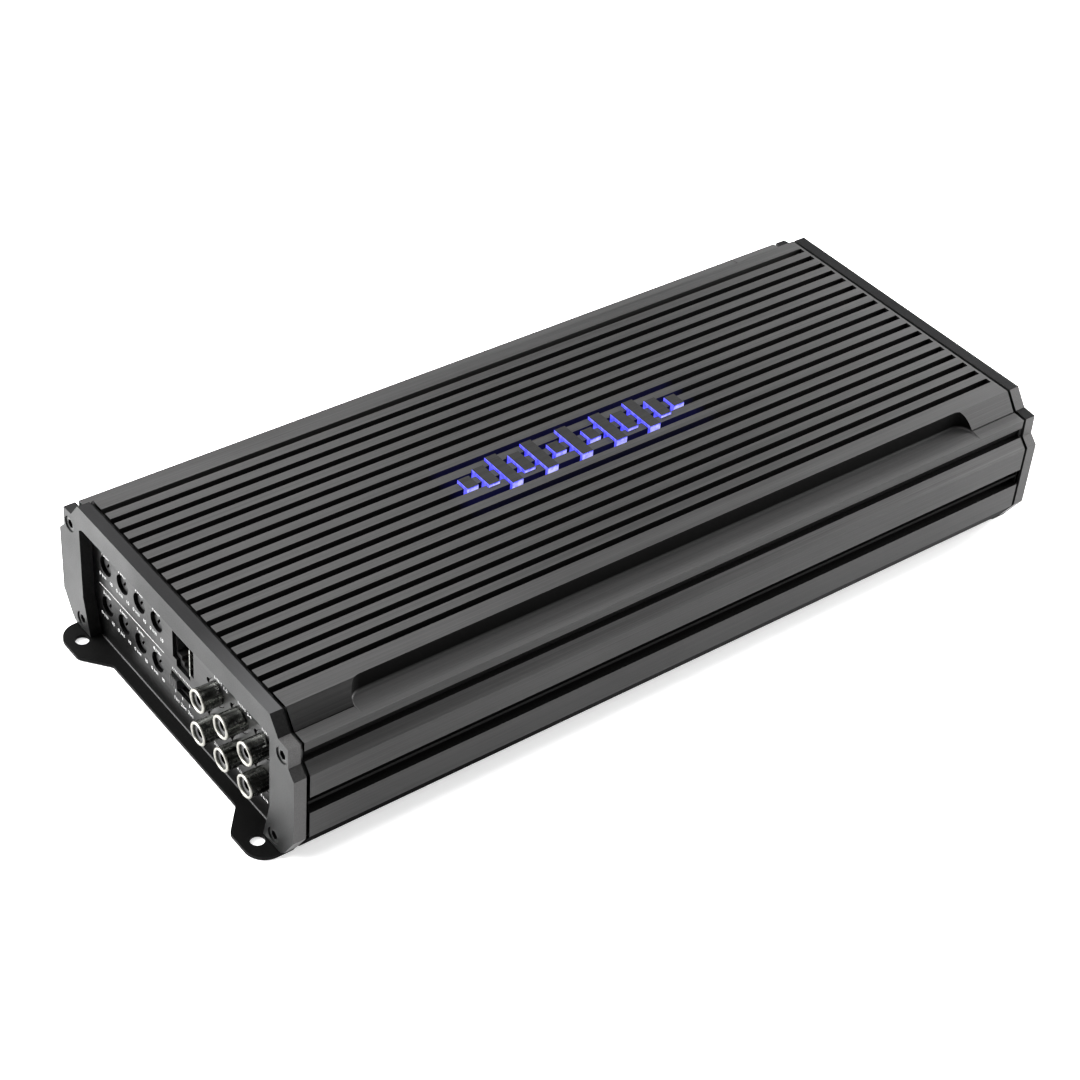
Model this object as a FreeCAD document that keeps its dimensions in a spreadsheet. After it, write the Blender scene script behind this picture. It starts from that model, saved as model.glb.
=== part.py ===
import FreeCAD, Part
import os
import Sketcher

# A car amplifier: an inverted U-shaped aluminium extrusion closed by a bottom plate, with a sheet
# panel and a thick frame at each end.  Lengths are millimetres.  +X runs along the extrusion from
# the input end to the output end, +Z is up, and z = 0 is the underside of the mounting tabs.

SIZES = {
    # corners of the outer profile, as half widths and heights
    "top_half": 58.73, "top_height": 56.0,
    "slant_half": 63.5, "slant_height": 49.6,
    "ledge_half": 68.95, "ledge_height": 49.15,
    "neck_half": 69.15, "neck_height": 41.6,
    "side_half": 72.4, "side_top": 38.25, "side_bottom": 12.0,
    "chamfer_half": 67.0, "chamfer_height": 3.4,
    "base_half": 64.8, "sheet": 1.25,
    # extrusion
    "body_half_length": 154.2,
    "groove_width": 2.5, "groove_depth": 5.0, "groove_pitch": 6.0, "groove_shift": 0.9,
    "groove_end_web": 1.0,
    "upper_slot_bottom": 41.7, "upper_slot_top": 45.7, "upper_slot_half": 67.2,
    "lower_slot_bottom": 22.3, "lower_slot_top": 29.0, "lower_slot_half": 69.2,
    "rib_bottom": 25.1, "rib_top": 26.1, "rib_half": 71.1,
    "cavity_half": 63.5, "cavity_top": 46.3, "cavity_shoulder": 61.0, "foot_half": 56.5, "foot_top": 9.6,
    "scoop_half_length": 132.9, "scoop_wall": 58.2, "scoop_corner": 5.5, "scoop_fillet": 0.8,
    "seam_width": 0.45, "seam_depth": 0.5,
    # end frames and panels
    "frame_thick": 4.5, "frame_foot": 1.8,
    "opening_half": 58.6, "opening_top": 47.2, "opening_corner_half": 56.6,
    "opening_corner_height": 45.9, "opening_flare_height": 16.8, "opening_foot_half": 54.9,
    "panel_thick": 1.3, "panel_inset": 1.1,
    "flange_edge": 160.3, "tab_tip": 168.35, "tab_root_half": 39.1, "tab_slant_half": 48.8,
    "tab_outer_half": 64.7, "tab_radius": 7.5,
    "tab_hole_x": 162.7, "tab_hole_y": 55.9, "tab_hole_radius": 2.45,
    "upper_screw_y": 65.3, "upper_screw_z": 44.05, "lower_screw_y": 60.7, "lower_screw_z": 5.75,
    "screw_radius": 1.45, "screw_hole": 1.5, "screw_clearance": 1.6, "screw_head": 2.75,
    "sink_radius": 2.95, "sink_depth": 0.7, "screw_length": 12.0,
    # bottom plate and boards
    "plate_half_length": 153.9, "plate_half_width": 62.5, "plate_screw_x": 120.0, "plate_screw_y": 59.3,
    "plate_screw_length": 7.0,
    "board_low": 12.6, "board_thick": 1.6, "board_half_width": 61.3,
    "board_start": -138.0, "board_end": 139.0, "standoff_x": 128.0, "standoff_y": 50.0,
    "input_board_x": -143.2, "input_board_half": 56.0, "input_board_low": 14.6, "input_board_top": 43.5,
    # lit badge in the top
    "bar_width": 4.6, "bar_pitch": 7.5, "bar_gap": 0.3, "bar_rise": 0.45, "cap_thick": 0.45,
    "badge_x": 0.5, "badge_y": 0.45, "guide_thick": 1.2,
    # signal jacks
    "jack_pitch": 14.0, "jack_y": -34.65, "jack_z": 25.65, "jack_front": -162.7,
    "shell_radius": 4.15, "shell_length": 7.2, "shell_tail_radius": 3.95, "shell_bore": 3.6,
    "insulator_radius": 3.55, "insulator_hole": 1.75, "socket_radius": 1.65,
    "contact_radius": 1.95, "collar_radius": 5.0, "jack_hole": 5.2, "jack_back": -148.0,
    # level and crossover trimmers
    "pot_y": 33.3, "pot_pitch": 11.0, "pot_low_z": 17.25, "pot_high_z": 34.65,
    "pot_hole": 3.7, "rotor_radius": 2.9, "rotor_front": -154.3, "rotor_head": 3.0,
    "pot_shaft": 1.5, "pot_bore": 1.55, "pot_case_half": 4.75,
    # remote socket and input mode switch
    "remote_y": 0.1, "remote_z": 31.85, "remote_half_width": 6.5, "remote_half_height": 6.85,
    "switch_y": 1.1, "switch_z": 17.4, "switch_half_width": 6.9, "switch_half_height": 3.2,
    "slider_y": 5.5, "slider_half_width": 2.1, "slider_half_height": 2.0,
    # output end
    "power_pitch": 14.0, "power_y": 33.0, "power_z": 17.5,
    "speaker_pitch": 6.2, "speaker_y": -23.5, "speaker_z": 17.0,
    "fuse_pitch": 20.8, "fuse_y": 33.0, "fuse_z": 36.5,
    # parts on the main board
    "transformer_x": 66.0, "capacitor_radius": 8.0, "capacitor_height": 25.0,
    "inductor_x": 108.0, "transistor_pitch": 22.0, "transistor_start": -110.0,
}

GROOVES = 18
BAR_HALF_LENGTHS = (2.9, 5.0, 8.15, 5.0, 8.15, 2.9, 8.15, 2.9, 8.15, 5.0, 8.15, 5.0, 2.9)
ROTOR_TURN = 125.0
SPEAKER_WAYS = 10
POWER_WAYS = 3

DIRECTIONS = {
    "+x": (FreeCAD.Rotation(FreeCAD.Vector(0, 1, 0), 90), (1, 0, 0)),
    "-x": (FreeCAD.Rotation(FreeCAD.Vector(0, 1, 0), -90), (-1, 0, 0)),
    "+y": (FreeCAD.Rotation(FreeCAD.Vector(1, 0, 0), -90), (0, 1, 0)),
    "-y": (FreeCAD.Rotation(FreeCAD.Vector(1, 0, 0), 90), (0, -1, 0)),
    "+z": (FreeCAD.Rotation(), (0, 0, 1)),
}

doc = FreeCAD.newDocument("car_amplifier")
subparts = []


# ---------------------------------------------------------------- sizes and expressions

class Size:
    """A length, known as a number and as the expression of spreadsheet cells that gives it."""

    def __init__(self, number, text):
        self.number = number
        self.text = text

    def join(self, sign, other, number):
        return Size(number, "(%s %s %s)" % (self.text, sign, other.text))

    def __add__(self, other):
        other = as_size(other)
        return self.join("+", other, self.number + other.number)

    def __sub__(self, other):
        other = as_size(other)
        return self.join("-", other, self.number - other.number)

    def __mul__(self, other):
        other = as_size(other)
        return self.join("*", other, self.number * other.number)

    def __truediv__(self, other):
        other = as_size(other)
        return self.join("/", other, self.number / other.number)

    def __radd__(self, other):
        return as_size(other) + self

    def __rsub__(self, other):
        return as_size(other) - self

    def __rmul__(self, other):
        return as_size(other) * self

    def __neg__(self):
        return Size(-self.number, "(0 - %s)" % self.text)


def as_size(value):
    if isinstance(value, Size):
        return value
    return Size(float(value), "(%s)" % repr(float(value)))


def size(alias):
    return Size(SIZES[alias], "Sizes." + alias)


def fill_sheet():
    sheet = doc.addObject("Spreadsheet::Sheet", "Sizes")
    for row, (alias, number) in enumerate(SIZES.items(), start=1):
        sheet.set("A%d" % row, alias)
        sheet.set("B%d" % row, str(number))
        sheet.setAlias("B%d" % row, alias)
    doc.recompute()


def bind(item, prop, value):
    item.setExpression(prop, as_size(value).text)


def keep(item, label):
    """Name an object as a sub-part of the amplifier."""
    item.Label = label
    subparts.append(item)
    return item


# ---------------------------------------------------------------- bodies and sketches

def new_body(label):
    body = doc.addObject("PartDesign::Body", "Body_" + label)
    body.AllowCompound = True
    return keep(body, label)


def new_sketch(body, plane, height):
    """A sketch on one of the body's origin planes, raised along the plane's normal."""
    sketch = body.newObject("Sketcher::SketchObject", "Sketch")
    support = [item for item in body.Origin.OriginFeatures if item.Role == plane][0]
    sketch.AttachmentSupport = [(support, "")]
    sketch.MapMode = "FlatFace"
    bind(sketch, "AttachmentOffset.Base.z", height)
    return sketch


def pin_point(sketch, geometry, point, place):
    """Hold one point of a sketch at its two distances from the sketch's origin."""
    for kind, distance in zip(("DistanceX", "DistanceY"), place):
        distance = as_size(distance)
        rule = Sketcher.Constraint(kind, -1, 1, geometry, point, distance.number)
        index = sketch.addConstraint(rule)
        sketch.setExpression("Constraints[%d]" % index, distance.text)


def flat(place):
    return FreeCAD.Vector(as_size(place[0]).number, as_size(place[1]).number, 0)


def add_polygon(sketch, corners):
    first = sketch.GeometryCount
    for start, end in zip(corners, corners[1:] + corners[:1]):
        sketch.addGeometry(Part.LineSegment(flat(start), flat(end)))
    for index, corner in enumerate(corners):
        before = first + (index - 1) % len(corners)
        sketch.addConstraint(Sketcher.Constraint("Coincident", before, 2, first + index, 1))
        pin_point(sketch, first + index, 1, corner)


def add_rectangle(sketch, centre, half_width, half_height):
    x, y = centre
    add_polygon(sketch, [
        (x - half_width, y - half_height), (x + half_width, y - half_height),
        (x + half_width, y + half_height), (x - half_width, y + half_height),
    ])


def add_circle(sketch, centre, radius):
    radius = as_size(radius)
    circle = Part.Circle(flat(centre), FreeCAD.Vector(0, 0, 1), radius.number)
    geometry = sketch.addGeometry(circle)
    index = sketch.addConstraint(Sketcher.Constraint("Radius", geometry, radius.number))
    sketch.setExpression("Constraints[%d]" % index, radius.text)
    pin_point(sketch, geometry, 3, centre)


def pad(body, sketch, length):
    feature = body.newObject("PartDesign::Pad", "Pad")
    feature.Profile = sketch
    bind(feature, "Length", length)
    doc.recompute()
    return feature


def pocket(body, sketch, depth, forward=False):
    """Cut a sketch into the body, along its plane's normal when forward and against it if not."""
    volume = body.Shape.Volume
    feature = body.newObject("PartDesign::Pocket", "Pocket")
    feature.Profile = sketch
    feature.Reversed = forward
    bind(feature, "Length", depth)
    doc.recompute()
    if body.Shape.Volume > volume - 0.01:
        raise RuntimeError("a pocket in %s cuts nothing" % body.Label)
    return feature


def round_edges(body, kind, amount, chosen):
    """Fillet or chamfer the edges of the body's last feature that the test chooses."""
    base = body.Tip
    names = ["Edge%d" % (i + 1) for i, edge in enumerate(base.Shape.Edges) if chosen(edge)]
    if not names:
        raise RuntimeError("no edge to dress in %s" % body.Label)
    feature = body.newObject("PartDesign::" + kind, kind)
    feature.Base = (base, names)
    bind(feature, "Radius" if kind == "Fillet" else "Size", amount)
    doc.recompute()
    return feature


def near(a, b):
    return abs(a - b) < 0.01


def edge_at(edge, axis, place):
    """Whether an edge is straight along an axis (0, 1, 2) and passes the place's other two values."""
    box = edge.BoundBox
    lows = (box.XMin, box.YMin, box.ZMin)
    highs = (box.XMax, box.YMax, box.ZMax)
    others = [i for i in range(3) if i != axis]
    straight = all(near(lows[i], highs[i]) for i in others)
    return straight and all(near(lows[i], place[i]) for i in others)


def rim_at(edge, axis, level, radius):
    """Whether an edge is a full circle of this radius, square to an axis, at a level along it."""
    curve = edge.Curve
    if not isinstance(curve, Part.Circle) or not edge.isClosed():
        return False
    return near(curve.Radius, radius) and near(tuple(curve.Center)[axis], level)


def mirrored(points):
    """The same points on the other side of the middle, in the order that closes an outline."""
    return [(-y, z) for y, z in reversed(points)]


# ---------------------------------------------------------------- primitives and booleans

def place(item, corner, rotation=FreeCAD.Rotation()):
    item.Placement = FreeCAD.Placement(FreeCAD.Vector(), rotation)
    for axis, value in zip("xyz", corner):
        bind(item, "Placement.Base." + axis, value)
    return item


def box(low, high):
    item = doc.addObject("Part::Box", "Box")
    for prop, start, end in zip(("Length", "Width", "Height"), low, high):
        bind(item, prop, as_size(end) - start)
    return place(item, low)


def block(centre, halves):
    """A box given by its centre and half sizes."""
    low = [as_size(c) - h for c, h in zip(centre, halves)]
    high = [as_size(c) + h for c, h in zip(centre, halves)]
    return box(low, high)


def cylinder(start, direction, radius, length):
    item = doc.addObject("Part::Cylinder", "Cylinder")
    bind(item, "Radius", radius)
    bind(item, "Height", length)
    return place(item, start, DIRECTIONS[direction][0])


def cone(start, direction, radius, end_radius, length):
    item = doc.addObject("Part::Cone", "Cone")
    bind(item, "Radius1", radius)
    bind(item, "Radius2", end_radius)
    bind(item, "Height", length)
    return place(item, start, DIRECTIONS[direction][0])


def hexagon(start, direction, radius, length):
    item = doc.addObject("Part::Prism", "Prism")
    item.Polygon = 6
    bind(item, "Circumradius", radius)
    bind(item, "Height", length)
    return place(item, start, DIRECTIONS[direction][0])


def fuse(items):
    item = doc.addObject("Part::MultiFuse", "Fuse")
    item.Shapes = items
    return item


def cut(base, tools):
    item = doc.addObject("Part::Cut", "Cut")
    item.Base = base
    item.Tool = tools[0] if len(tools) == 1 else fuse(tools)
    return item


def group(items, label):
    """Several separate solids of one kind that share a node."""
    item = doc.addObject("Part::Compound", "Group")
    item.Links = items
    return keep(item, label)


def further(start, direction, distance):
    """The point at a distance from start along a direction."""
    return [as_size(s) + as_size(distance) * d for s, d in zip(start, DIRECTIONS[direction][1])]


def countersunk_screw(start, direction, length):
    """A flat-headed screw with a hexagon socket, start being the middle of its head's face."""
    head_depth = size("screw_head") - size("screw_radius")
    lead_in = 0.3
    rim = cylinder(start, direction, size("screw_head"), lead_in)
    head = cone(further(start, direction, lead_in), direction,
                size("screw_head"), size("screw_radius"), head_depth)
    shank = cylinder(further(start, direction, head_depth + lead_in), direction,
                     size("screw_radius"), as_size(length) - (head_depth + lead_in))
    socket = hexagon(further(start, direction, -0.5), direction, 1.7, 1.4)
    return cut(fuse([rim, head, shank]), [socket])


def pan_screw(start, direction, head_radius, head_height, radius, length):
    """A screw with a raised head and a cross recess, start being the middle of its head's face."""
    head = cylinder(start, direction, head_radius, head_height)
    under = further(start, direction, head_height)
    shank = cylinder(under, direction, radius, length)
    halves = [(head_radius * 0.62, 0.4), (0.4, head_radius * 0.62)]
    recess = []
    for wide, narrow in halves:
        middle = further(start, direction, 0.3)
        across = {"x": [0.8, wide, narrow], "y": [wide, 0.8, narrow], "z": [wide, narrow, 0.8]}
        recess.append(block(middle, across[direction[1]]))
    return cut(fuse([head, shank]), recess)


# ---------------------------------------------------------------- enclosure

def outer_half(foot_height):
    """Corners of the outer profile from its foot to its top edge, without the side slots."""
    return [
        (size("base_half"), foot_height),
        (size("chamfer_half"), size("chamfer_height")),
        (size("side_half"), size("side_bottom")),
        (size("side_half"), size("side_top")),
        (size("neck_half"), size("neck_height")),
        (size("ledge_half"), size("ledge_height")),
        (size("slant_half"), size("slant_height")),
        (size("top_half"), size("top_height")),
    ]


def slotted_half():
    """Corners of the extrusion's outer profile, with the two slots along each side."""
    plain = outer_half(size("sheet"))
    lower = [
        (size("side_half"), size("lower_slot_bottom")),
        (size("lower_slot_half"), size("lower_slot_bottom")),
        (size("lower_slot_half"), size("rib_bottom")),
        (size("rib_half"), size("rib_bottom")),
        (size("rib_half"), size("rib_top")),
        (size("lower_slot_half"), size("rib_top")),
        (size("lower_slot_half"), size("lower_slot_top")),
        (size("side_half"), size("lower_slot_top")),
    ]
    upper = [
        (size("upper_slot_half"), size("upper_slot_bottom")),
        (size("upper_slot_half"), size("upper_slot_top")),
        (size("ledge_half"), size("upper_slot_top")),
    ]
    return [(size("foot_half"), size("sheet"))] + plain[:3] + lower + plain[3:5] + upper + plain[5:]


def frame_screw_places():
    upper = (size("upper_screw_y"), size("upper_screw_z"))
    lower = (size("lower_screw_y"), size("lower_screw_z"))
    return [(sign * y, z) for y, z in (upper, lower) for sign in (1, -1)]


def clamp_screw_places():
    start = size("transistor_start") + size("transistor_pitch") / 2
    return [start + size("transistor_pitch") * (2 * index) for index in range(5)]


def cut_top_grooves(body):
    first = size("groove_shift") - size("groove_pitch") * ((GROOVES - 1) / 2)
    reach = size("body_half_length")
    web = size("groove_end_web")
    sketch = new_sketch(body, "XY_Plane", size("top_height"))
    add_rectangle(sketch, (-web / 2 - 1, first), reach + 1 - web / 2, size("groove_width") / 2)
    groove = pocket(body, sketch, size("groove_depth"))
    pattern = body.newObject("PartDesign::LinearPattern", "Grooves")
    pattern.Originals = [groove]
    pattern.Direction = (sketch, ["V_Axis"])
    pattern.Occurrences = GROOVES
    bind(pattern, "Length", size("groove_pitch") * (GROOVES - 1))
    body.Tip = pattern
    doc.recompute()


def make_scoop_cutter(sign):
    """The space of one finger recess, with its rounded corners and rounded floor edge."""
    cutter = doc.addObject("PartDesign::Body", "Scoop")
    wall = size("scoop_wall")
    outside = size("side_half") + 8
    floor = size("ledge_height")
    sketch = new_sketch(cutter, "XY_Plane", floor)
    add_rectangle(sketch, (0, sign * (wall + outside) / 2), size("scoop_half_length"),
                  (outside - wall) / 2)
    pad(cutter, sketch, size("top_height") + 1 - floor)
    round_edges(cutter, "Fillet", size("scoop_corner"), lambda edge: any(
        edge_at(edge, 2, (end * SIZES["scoop_half_length"], sign * SIZES["scoop_wall"], 0))
        for end in (1, -1)))
    round_edges(cutter, "Fillet", size("scoop_fillet"), lambda edge: edge_at(
        edge, 0, (0, sign * SIZES["scoop_wall"], SIZES["ledge_height"])))
    return cutter


def cut_scoops(body):
    """The finger recess along each slanted edge, with the fine seam line beyond its ends."""
    volume = body.Shape.Volume
    boolean = body.newObject("PartDesign::Boolean", "Scoops")
    boolean.Type = "Cut"
    boolean.Group = [make_scoop_cutter(sign) for sign in (1, -1)]
    doc.recompute()
    if body.Shape.Volume > volume - 1:
        raise RuntimeError("the finger recesses cut nothing")
    seam = (size("body_half_length") - size("scoop_half_length")) / 2
    for sign in (1, -1):
        sketch = new_sketch(body, "XY_Plane", size("slant_height"))
        for end in (1, -1):
            middle = (end * (size("scoop_half_length") + seam + 0.5),
                      sign * (size("slant_half") + size("seam_width") / 2))
            add_rectangle(sketch, middle, seam + 0.4, size("seam_width") / 2)
        pocket(body, sketch, size("seam_depth") + size("slant_height") - size("ledge_height"))


def cut_body_holes(body):
    for end in (-1, 1):
        sketch = new_sketch(body, "YZ_Plane", end * size("body_half_length"))
        for centre in frame_screw_places():
            add_circle(sketch, centre, size("screw_hole"))
        pocket(body, sketch, size("screw_length"), forward=end < 0)
    sketch = new_sketch(body, "XY_Plane", size("sheet"))
    for centre in plate_screw_places():
        add_circle(sketch, centre, size("screw_hole"))
    pocket(body, sketch, size("plate_screw_length"), forward=True)
    for sign in (1, -1):
        sketch = new_sketch(body, "XZ_Plane", sign * size("cavity_half"))
        for x in clamp_screw_places():
            add_circle(sketch, (x, 28), size("screw_hole"))
        pocket(body, sketch, 4.3, forward=sign > 0)


def bar_places():
    """Centre and half length of each bar of the lit badge."""
    count = len(BAR_HALF_LENGTHS)
    return [
        (size("badge_x") + size("bar_pitch") * (index - (count - 1) / 2), half)
        for index, half in enumerate(BAR_HALF_LENGTHS)
    ]


def cut_badge_slots(body):
    sketch = new_sketch(body, "XY_Plane", size("cavity_top"))
    for x, half in bar_places():
        add_rectangle(sketch, (x, size("badge_y")), size("bar_width") / 2 + size("bar_gap"),
                      half + size("bar_gap"))
    pocket(body, sketch, size("top_height") + 1 - size("cavity_top"), forward=True)


def make_heatsink():
    body = new_body("heatsink_body")
    outer = slotted_half()
    cavity = [
        (size("cavity_shoulder"), size("cavity_top")),
        (size("cavity_shoulder"), size("cavity_top") - 5.8),
        (size("cavity_half"), size("side_top")),
        (size("cavity_half"), size("foot_top") + 1.4),
        (size("foot_half"), size("foot_top")),
    ]
    sketch = new_sketch(body, "YZ_Plane", -size("body_half_length"))
    add_polygon(sketch, outer + mirrored(outer) + mirrored(cavity) + cavity)
    pad(body, sketch, size("body_half_length") * 2)
    cut_top_grooves(body)
    cut_scoops(body)
    cut_body_holes(body)
    cut_badge_slots(body)


def make_end_frame(label, end):
    """A thick frame shaped like an upside-down U, screwed on over the end panel."""
    body = new_body(label)
    outer = outer_half(size("frame_foot"))
    opening = [
        (size("opening_corner_half"), size("opening_top")),
        (size("opening_half"), size("opening_corner_height")),
        (size("opening_half"), size("opening_flare_height")),
        (size("opening_foot_half"), size("frame_foot")),
    ]
    inner_face = size("body_half_length") + size("panel_thick")
    start = inner_face if end > 0 else -inner_face - size("frame_thick")
    outer_face = end * (inner_face + size("frame_thick"))
    sketch = new_sketch(body, "YZ_Plane", start)
    add_polygon(sketch, outer + mirrored(outer) + mirrored(opening) + opening)
    pad(body, sketch, size("frame_thick"))
    for radius, depth in ((size("sink_radius"), size("sink_depth")),
                          (size("screw_clearance"), size("frame_thick") + 1)):
        sketch = new_sketch(body, "YZ_Plane", outer_face)
        for centre in frame_screw_places():
            add_circle(sketch, centre, radius)
        pocket(body, sketch, depth, forward=end < 0)
    level = (outer_face - end * size("sink_depth")).number
    round_edges(body, "Chamfer", size("sink_radius") - size("screw_clearance") - 0.02,
                lambda edge: rim_at(edge, 0, level, SIZES["screw_clearance"]))


def panel_half():
    """Corners of the panel sheet, set in from the profile so that a fine gap shows round it."""
    inset = size("panel_inset")
    return [
        (size("tab_outer_half"), 0),
        (size("tab_outer_half"), size("sheet")),
        (size("chamfer_half") - inset, size("chamfer_height")),
        (size("side_half") - inset, size("side_bottom")),
        (size("side_half") - inset, size("side_top") - inset / 2),
        (size("neck_half") - inset, size("neck_height")),
        (size("ledge_half") - inset, size("ledge_height") - inset),
        (size("slant_half") - inset, size("slant_height") - inset),
        (size("top_half") - inset / 2, size("top_height") - inset),
    ]


def make_panel(label, end):
    """A bent sheet: the upright end panel, a flange along its foot and two tabs with holes."""
    body = new_body(label)
    inner = size("body_half_length")
    face = inner + size("panel_thick")
    half = panel_half()
    sketch = new_sketch(body, "YZ_Plane", inner if end > 0 else -face)
    add_polygon(sketch, half + mirrored(half))
    pad(body, sketch, size("panel_thick"))
    side = [
        (inner, size("tab_outer_half")),
        (size("tab_tip"), size("tab_outer_half")),
        (size("tab_tip"), size("tab_slant_half")),
        (size("flange_edge"), size("tab_root_half")),
    ]
    outline = [(end * x, y) for x, y in side] + [(end * x, -y) for x, y in reversed(side)]
    sketch = new_sketch(body, "XY_Plane", 0)
    add_polygon(sketch, outline)
    pad(body, sketch, size("sheet"))
    tip = end * SIZES["tab_tip"]
    round_edges(body, "Fillet", size("tab_radius"), lambda edge: any(
        edge_at(edge, 2, (tip, sign * SIZES["tab_outer_half"], 0)) for sign in (1, -1)))
    round_edges(body, "Fillet", 3.5, lambda edge: any(
        edge_at(edge, 2, (tip, sign * SIZES["tab_slant_half"], 0)) for sign in (1, -1)))
    round_edges(body, "Fillet", 2.5, lambda edge: any(
        edge_at(edge, 2, (end * SIZES["flange_edge"], sign * SIZES["tab_root_half"], 0))
        for sign in (1, -1)))
    round_edges(body, "Fillet", 1.2, lambda edge: edge_at(edge, 1, (end * inner.number, 0, 0)))
    round_edges(body, "Fillet", 0.5, lambda edge: edge_at(
        edge, 1, (end * face.number, 0, SIZES["sheet"])))
    sketch = new_sketch(body, "XY_Plane", size("sheet"))
    for sign in (1, -1):
        centre = (end * size("tab_hole_x"), sign * size("tab_hole_y"))
        add_circle(sketch, centre, size("tab_hole_radius"))
    pocket(body, sketch, size("sheet") + 1)
    sketch = new_sketch(body, "YZ_Plane", end * face)
    for centre in frame_screw_places():
        add_circle(sketch, centre, size("screw_clearance"))
    pocket(body, sketch, size("panel_thick") + 1, forward=end < 0)
    return body


def cut_panel(body, end, draw):
    """Cut an opening, drawn by the function given, through an end panel."""
    sketch = new_sketch(body, "YZ_Plane", end * (size("body_half_length") + size("panel_thick")))
    draw(sketch)
    pocket(body, sketch, size("panel_thick") + 1, forward=end < 0)


def make_input_panel():
    body = make_panel("input_panel", -1)

    def round_openings(sketch):
        for centre in jack_places():
            add_circle(sketch, centre, size("jack_hole"))
        for centre in pot_places():
            add_circle(sketch, centre, size("pot_hole"))

    def key_notches(sketch):
        for y, z in jack_places():
            add_circle(sketch, (y + 5.0, z + 1.6), 1.1)

    def square_openings(sketch):
        add_polygon(sketch, remote_opening())
        add_rectangle(sketch, (size("switch_y"), size("switch_z")), size("switch_half_width"),
                      size("switch_half_height"))

    for draw in (round_openings, key_notches, square_openings):
        cut_panel(body, -1, draw)


def make_output_panel():
    body = make_panel("output_panel", 1)

    def openings(sketch):
        gap = 0.3
        add_rectangle(sketch, (size("power_y"), size("power_z")), power_half() + gap, 9.5 + gap)
        add_rectangle(sketch, (size("speaker_y"), size("speaker_z")), speaker_half() + gap, 7.0 + gap)
        add_rectangle(sketch, (size("fuse_y"), size("fuse_z")), fuse_half() + gap, 6.2 + gap)
        for y in led_places():
            add_circle(sketch, (y, size("fuse_z")), 1.75)

    cut_panel(body, 1, openings)


def plate_screw_places():
    return [(x * size("plate_screw_x"), sign * size("plate_screw_y")) for x in (-1, 0, 1)
            for sign in (1, -1)]


def make_bottom_plate():
    body = new_body("bottom_plate")
    sketch = new_sketch(body, "XY_Plane", 0)
    add_rectangle(sketch, (0, 0), size("plate_half_length"), size("plate_half_width"))
    for centre in plate_screw_places():
        add_circle(sketch, centre, size("screw_clearance"))
    pad(body, sketch, size("sheet"))
    round_edges(body, "Chamfer", 1.1, lambda edge: rim_at(edge, 2, 0, SIZES["screw_clearance"]))


def make_enclosure_screws():
    face = size("body_half_length") + size("panel_thick") + size("frame_thick")
    screws = []
    for end, direction in ((-1, "+x"), (1, "-x")):
        for y, z in frame_screw_places():
            screws.append(countersunk_screw((end * (face - 0.5), y, z), direction, 13.5))
    group(screws, "end_frame_screws")
    screws = []
    for x, y in plate_screw_places():
        head = cone((x, y, 0.05), "+z", 2.6, 1.4, 1.2)
        shank = cylinder((x, y, 1.25), "+z", 1.4, 6.0)
        socket = hexagon((x, y, -0.5), "+z", 1.15, 1.5)
        screws.append(cut(fuse([head, shank]), [socket]))
    group(screws, "bottom_plate_screws")


# ---------------------------------------------------------------- lit badge

def make_badge():
    body = new_body("badge_light_guide")
    top = size("cavity_top") - 0.1
    count = len(BAR_HALF_LENGTHS)
    sketch = new_sketch(body, "XY_Plane", top - size("guide_thick"))
    add_rectangle(sketch, (size("badge_x"), size("badge_y")), size("bar_pitch") * (count / 2) + 2, 13)
    pad(body, sketch, size("guide_thick"))
    rise = size("top_height") + size("bar_rise")
    sketch = new_sketch(body, "XY_Plane", top)
    for x, half in bar_places():
        add_rectangle(sketch, (x, size("badge_y")), size("bar_width") / 2, half)
    pad(body, sketch, rise - top)
    caps = new_body("badge_caps")
    sketch = new_sketch(caps, "XY_Plane", rise)
    for x, half in bar_places():
        add_rectangle(sketch, (x, size("badge_y")), size("bar_width") / 2, half)
    pad(caps, sketch, size("cap_thick"))
    middle = (size("badge_x"), size("badge_y"), top - size("guide_thick") - 1.0)
    board = block(middle, (48, 12, 0.8))
    lamps = [block((x, size("badge_y"), top - size("guide_thick") - 0.15), (1.4, 1.0, 0.1))
             for x, half in bar_places()]
    keep(fuse([board] + lamps), "badge_led_board")


# ---------------------------------------------------------------- input end

def jack_columns():
    return [size("jack_y") + size("jack_pitch") * step for step in (1, 0, -1)]


def jack_places():
    half = size("jack_pitch") / 2
    return [(y, size("jack_z") + sign * half) for sign in (1, -1) for y in jack_columns()]


def pot_places():
    columns = [size("pot_y") + size("pot_pitch") * step for step in (1.5, 0.5, -0.5, -1.5)]
    return [(y, z) for z in (size("pot_high_z"), size("pot_low_z")) for y in columns]


def tubes(label, start, length, outer, inner):
    """Six equal tubes, one for each signal jack."""
    body = new_body(label)
    sketch = new_sketch(body, "YZ_Plane", start)
    for centre in jack_places():
        add_circle(sketch, centre, outer)
        add_circle(sketch, centre, inner)
    pad(body, sketch, length)
    return body


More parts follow.
